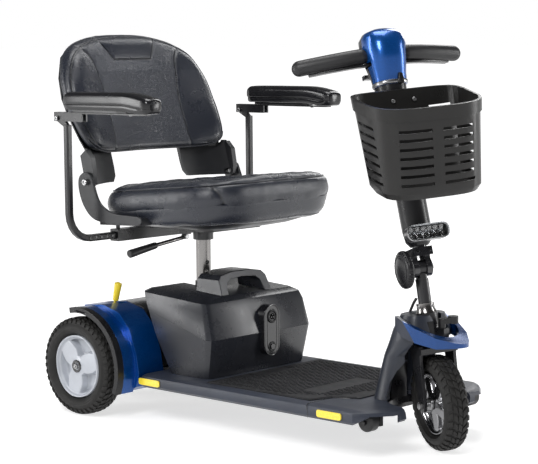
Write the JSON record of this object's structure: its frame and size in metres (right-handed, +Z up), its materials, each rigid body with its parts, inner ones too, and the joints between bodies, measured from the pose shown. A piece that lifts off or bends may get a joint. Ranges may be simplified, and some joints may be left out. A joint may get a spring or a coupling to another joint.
{
  "type": "mobility scooter",
  "caption": "Compact electric travel scooter: swivelling armchair seat, tilting tiller with oval lamp and front basket, and a lift-off battery box on a flat deck.",
  "frame": {"origin": "centre of the footprint of the whole scooter, on the ground", "axes": "+Z up, -Y the way the rider faces, +X the rider's left"},
  "size_m": [0.6514, 1.1024, 0.884],
  "materials": {
    "black_steel": "satin black powder coat",
    "grey_plastic": "textured dark grey moulding",
    "battery_case": "plain battery case",
    "mat_rubber": "matt black rubber",
    "blue_gloss": "metallic blue, clear coated",
    "black_plastic": "fine textured satin black",
    "gloss_black": "glossy black skin",
    "yellow_plastic": "bright yellow",
    "tyre": "matt tread rubber",
    "rim_grey": "light grey moulding",
    "rim_silver": "bright silver",
    "chrome": "bright",
    "vinyl": "grained charcoal vinyl",
    "clear_lens": "clear moulded lens"
  },
  "bodies": {
    "chassis": {"main_frame": "black_steel", "deck_panel": "grey_plastic", "foot_mat": "mat_rubber", "front_shroud": "grey_plastic", "front_fin": "blue_gloss", "rear_body": "black_plastic", "fender_right": "blue_gloss", "fender_left": "blue_gloss", "transaxle": "black_steel", "tiller_cable": "mat_rubber", "reflector_front_right": "yellow_plastic", "reflector_front_left": "yellow_plastic", "reflector_rear_right": "yellow_plastic", "reflector_rear_left": "yellow_plastic"},
    "steering": {"fork": "black_steel", "steering_stem": "chrome", "front_axle": "chrome"},
    "front_wheel": {"front_rim": "rim_silver", "front_tyre": "tyre"},
    "tiller": {"tiller_clamp": "black_steel", "tiller_cover": "black_plastic", "head_cover": "blue_gloss", "console": "black_plastic", "handlebar": "mat_rubber", "headlight_housing": "chrome", "headlight_lens": "clear_lens", "basket": "black_plastic"},
    "tiller_knob": {"tiller_knob": "black_plastic"},
    "throttle": {"throttle_lever": "black_plastic"},
    "speed_dial": {"speed_dial": "black_plastic"},
    "key_switch": {"key": "yellow_plastic"},
    "horn": {"horn_button": "yellow_plastic"},
    "rear_wheel_right": {"tyre_right": "tyre", "rim_right": "rim_grey"},
    "rear_wheel_left": {"tyre_left": "tyre", "rim_left": "rim_grey"},
    "anti_tip_right": {"anti_tip_wheel_right": "mat_rubber"},
    "anti_tip_left": {"anti_tip_wheel_left": "mat_rubber"},
    "anti_tip_rear": {"anti_tip_roller_rear": "mat_rubber"},
    "lock_lever": {"lock_lever": "black_plastic"},
    "freewheel": {"freewheel_lever": "yellow_plastic"},
    "battery_pack": {"battery_base": "black_plastic", "battery_lid": "black_plastic", "battery_handle": "black_plastic", "port_plate": "gloss_black", "battery_cells": "battery_case"},
    "breaker": {"breaker_button": "black_plastic"},
    "seat_column": {"seat_post": "chrome"},
    "seat": {"swivel_plate": "black_steel", "seat_shell": "grey_plastic", "seat_cushion": "vinyl"},
    "seat_release": {"seat_lever": "black_steel"},
    "seat_back": {"back_cushion": "vinyl", "back_shell": "grey_plastic"},
    "arm_right": {"armrest_tube_right": "black_steel"},
    "armrest_right": {"armrest_rail_right": "black_steel", "armrest_pad_right": "gloss_black"},
    "arm_left": {"armrest_tube_left": "black_steel"},
    "armrest_left": {"armrest_rail_left": "black_steel", "armrest_pad_left": "gloss_black"}
  },
  "joints": [
    {"name": "steering", "type": "hinge", "parent": "chassis", "child": "steering", "pos_m": [0, -0.4164, 0.2956], "axis": [0, 0.1736, 0.9848], "range_deg": [-17, 73]},
    {"name": "front_wheel_spin", "type": "hinge", "parent": "steering", "child": "front_wheel", "pos_m": [-0.00232, -0.45503, 0.10164], "axis": [0.8829, -0.4623, 0.0815], "continuous": true},
    {"name": "tiller_tilt", "type": "hinge", "parent": "steering", "child": "tiller", "pos_m": [0, -0.40115, 0.3821], "axis": [0.8829, -0.4623, 0.0815], "range_deg": [-10, 15]},
    {"name": "tiller_knob_turn", "type": "hinge", "parent": "tiller", "child": "tiller_knob", "pos_m": [0, -0.40115, 0.3821], "axis": [0.8829, -0.4623, 0.0815], "continuous": true},
    {"name": "throttle", "type": "hinge", "parent": "tiller", "child": "throttle", "pos_m": [-0.00746, -0.41463, 0.3864], "axis": [0.0556, 0.2754, 0.9597], "range_deg": [-12, 12], "stiffness_Nm_per_rad": 0.8},
    {"name": "speed_dial_turn", "type": "hinge", "parent": "tiller", "child": "speed_dial", "pos_m": [0.0384, -0.24609, 0.84553], "axis": [0.4639, 0.8859, -0.0001], "range_deg": [-135, 135]},
    {"name": "key_turn", "type": "hinge", "parent": "tiller", "child": "key_switch", "pos_m": [0.0084, -0.26777, 0.77763], "axis": [0.4625, 0.8864, 0.0183], "range_deg": [0, 90]},
    {"name": "horn_press", "type": "slide", "parent": "tiller", "child": "horn", "axis": [-0.4625, -0.8864, -0.0183], "range_m": [0, 0.003], "stiffness_N_per_m": 400},
    {"name": "rear_wheel_spin_right", "type": "hinge", "parent": "chassis", "child": "rear_wheel_right", "pos_m": [-0.2446, 0.3952, 0.114], "axis": [1, 0, 0], "continuous": true},
    {"name": "rear_wheel_spin_left", "type": "hinge", "parent": "chassis", "child": "rear_wheel_left", "pos_m": [0.2446, 0.3952, 0.114], "axis": [1, 0, 0], "continuous": true},
    {"name": "anti_tip_spin_right", "type": "hinge", "parent": "chassis", "child": "anti_tip_right", "pos_m": [-0.172, -0.4028, 0.0815], "axis": [1, 0, 0], "continuous": true},
    {"name": "anti_tip_spin_left", "type": "hinge", "parent": "chassis", "child": "anti_tip_left", "pos_m": [0.172, -0.4028, 0.0815], "axis": [1, 0, 0], "continuous": true},
    {"name": "anti_tip_spin_rear", "type": "hinge", "parent": "chassis", "child": "anti_tip_rear", "pos_m": [0, 0.5292, 0.046], "axis": [1, 0, 0], "continuous": true},
    {"name": "lock_lever_swing", "type": "hinge", "parent": "chassis", "child": "lock_lever", "pos_m": [0, -0.4588, 0.27], "axis": [0, 0, 1], "range_deg": [-60, 30]},
    {"name": "freewheel_tip", "type": "hinge", "parent": "chassis", "child": "freewheel", "pos_m": [-0.15, 0.3932, 0.229], "axis": [1, 0, 0], "range_deg": [0, 20]},
    {"name": "battery_lift", "type": "slide", "parent": "chassis", "child": "battery_pack", "axis": [0, 0, 1], "range_m": [0, 0.02]},
    {"name": "breaker_press", "type": "slide", "parent": "battery_pack", "child": "breaker", "axis": [0, 1, 0], "range_m": [0, 0.003], "stiffness_N_per_m": 400},
    {"name": "seat_height", "type": "slide", "parent": "chassis", "child": "seat_column", "axis": [0, 0, 1], "range_m": [0, 0.05]},
    {"name": "seat_swivel", "type": "hinge", "parent": "seat_column", "child": "seat", "pos_m": [0, 0.2422, 0.42], "axis": [0, 0, 1], "continuous": true},
    {"name": "seat_lever_pull", "type": "hinge", "parent": "seat", "child": "seat_release", "pos_m": [-0.066, 0.2352, 0.41], "axis": [0, 1, 0], "range_deg": [0, 10], "stiffness_Nm_per_rad": 0.5},
    {"name": "back_fold", "type": "hinge", "parent": "seat", "child": "seat_back", "pos_m": [0, 0.3722, 0.541], "axis": [1, 0, 0], "range_deg": [0, 60]},
    {"name": "armrest_width_right", "type": "slide", "parent": "seat", "child": "arm_right", "axis": [-1, 0, 0], "range_m": [-0.01, 0.04]},
    {"name": "armrest_flip_right", "type": "hinge", "parent": "arm_right", "child": "armrest_right", "pos_m": [-0.298, 0.3972, 0.689], "axis": [-1, 0, 0], "range_deg": [0, 95]},
    {"name": "armrest_width_left", "type": "slide", "parent": "seat", "child": "arm_left", "axis": [1, 0, 0], "range_m": [-0.01, 0.04]},
    {"name": "armrest_flip_left", "type": "hinge", "parent": "arm_left", "child": "armrest_left", "pos_m": [0.298, 0.3972, 0.689], "axis": [-1, 0, 0], "range_deg": [0, 95]}
  ]
}
